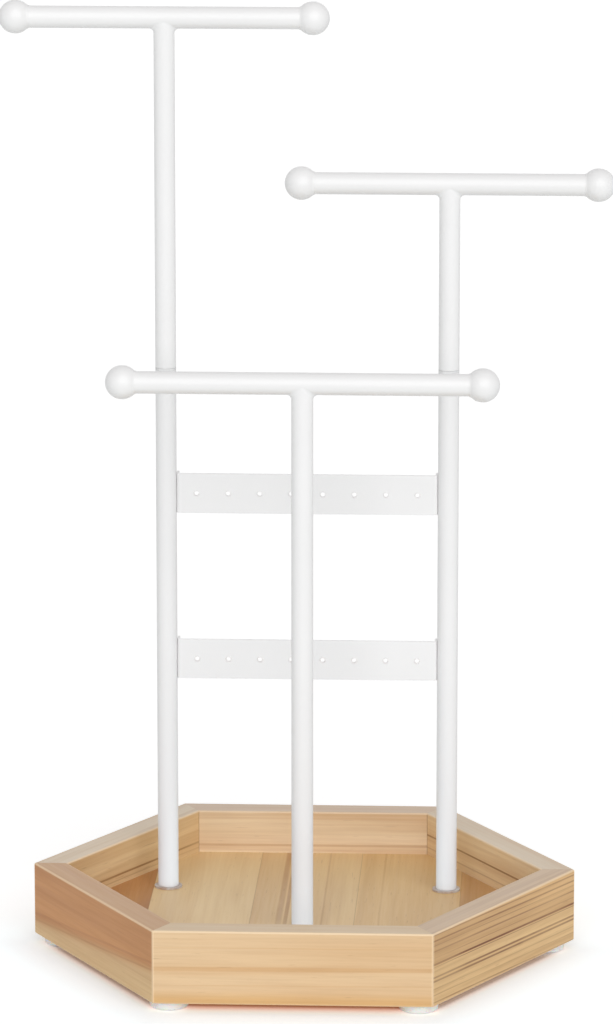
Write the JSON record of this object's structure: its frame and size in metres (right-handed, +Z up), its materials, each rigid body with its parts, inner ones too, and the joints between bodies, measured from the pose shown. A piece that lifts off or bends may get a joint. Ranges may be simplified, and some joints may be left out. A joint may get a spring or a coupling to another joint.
{
  "type": "jewellery stand",
  "caption": "Tabletop jewellery stand: white T-shaped hangers at stepped heights with ball ends, perforated earring strips and an open hexagonal wooden tray.",
  "frame": {"origin": "on the table, under the middle of the hexagonal tray", "axes": "+Z up; -Y is the front of the tray, where the short hanger stands; +X to the right, towards the middle-height hanger"},
  "size_m": [0.2696, 0.2078, 0.4173],
  "materials": {
    "white_coat": "gloss white powder coat on steel tube, ball and strip",
    "pine_board": "sanded natural pine, satin clear coat, grain along each board",
    "pine_floor": "edge-glued natural pine, satin clear coat, grain from front to back",
    "clear_pad": "clear soft bumper pad",
    "clear_washer": "clear soft plastic",
    "white_nylon": "white nylon",
    "zinc_steel": "bright zinc"
  },
  "bodies": {
    "stand": {"floor_stave_1": "pine_floor", "floor_stave_2": "pine_floor", "floor_stave_3": "pine_floor", "floor_stave_4": "pine_floor", "floor_stave_5": "pine_floor", "foot_back_left": "clear_pad", "foot_back_right": "clear_pad", "foot_front_left": "clear_pad", "foot_front_right": "clear_pad", "foot_left": "clear_pad", "foot_right": "clear_pad", "front_base_screw": "zinc_steel", "front_base_washer": "clear_washer", "front_steel_washer": "zinc_steel", "left_base_plug": "zinc_steel", "left_base_screw": "zinc_steel", "left_base_washer": "clear_washer", "left_joint_plug": "zinc_steel", "left_joint_washer": "white_nylon", "left_lower_post": "white_coat", "left_steel_washer": "zinc_steel", "lower_earring_strip": "white_coat", "right_base_plug": "zinc_steel", "right_base_screw": "zinc_steel", "right_base_washer": "clear_washer", "right_joint_plug": "zinc_steel", "right_joint_washer": "white_nylon", "right_lower_post": "white_coat", "right_steel_washer": "zinc_steel", "upper_earring_strip": "white_coat", "wall_back": "pine_board", "wall_back_left": "pine_board", "wall_back_right": "pine_board", "wall_front": "pine_board", "wall_front_left": "pine_board", "wall_front_right": "pine_board"},
    "tall_tee": {"tall_post": "white_coat", "tall_crossbar": "white_coat", "tall_ball_left": "white_coat", "tall_ball_right": "white_coat", "tall_stud": "zinc_steel"},
    "middle_tee": {"middle_post": "white_coat", "middle_crossbar": "white_coat", "middle_ball_left": "white_coat", "middle_ball_right": "white_coat", "middle_stud": "zinc_steel"},
    "front_tee": {"front_post": "white_coat", "front_crossbar": "white_coat", "front_ball_left": "white_coat", "front_ball_right": "white_coat", "front_base_plug": "zinc_steel"}
  },
  "joints": [
    {"name": "tall_swivel", "type": "hinge", "parent": "stand", "child": "tall_tee", "pos_m": [-0.0625, 0.0325, 0.2545], "axis": [0, 0, 1], "range_deg": [0, 180]},
    {"name": "middle_swivel", "type": "hinge", "parent": "stand", "child": "middle_tee", "pos_m": [0.0625, 0.0325, 0.2545], "axis": [0, 0, 1], "range_deg": [0, 180]},
    {"name": "front_swivel", "type": "hinge", "parent": "stand", "child": "front_tee", "pos_m": [0.001, -0.036, 0.0178], "axis": [0, 0, 1], "range_deg": [-90, 90]}
  ]
}
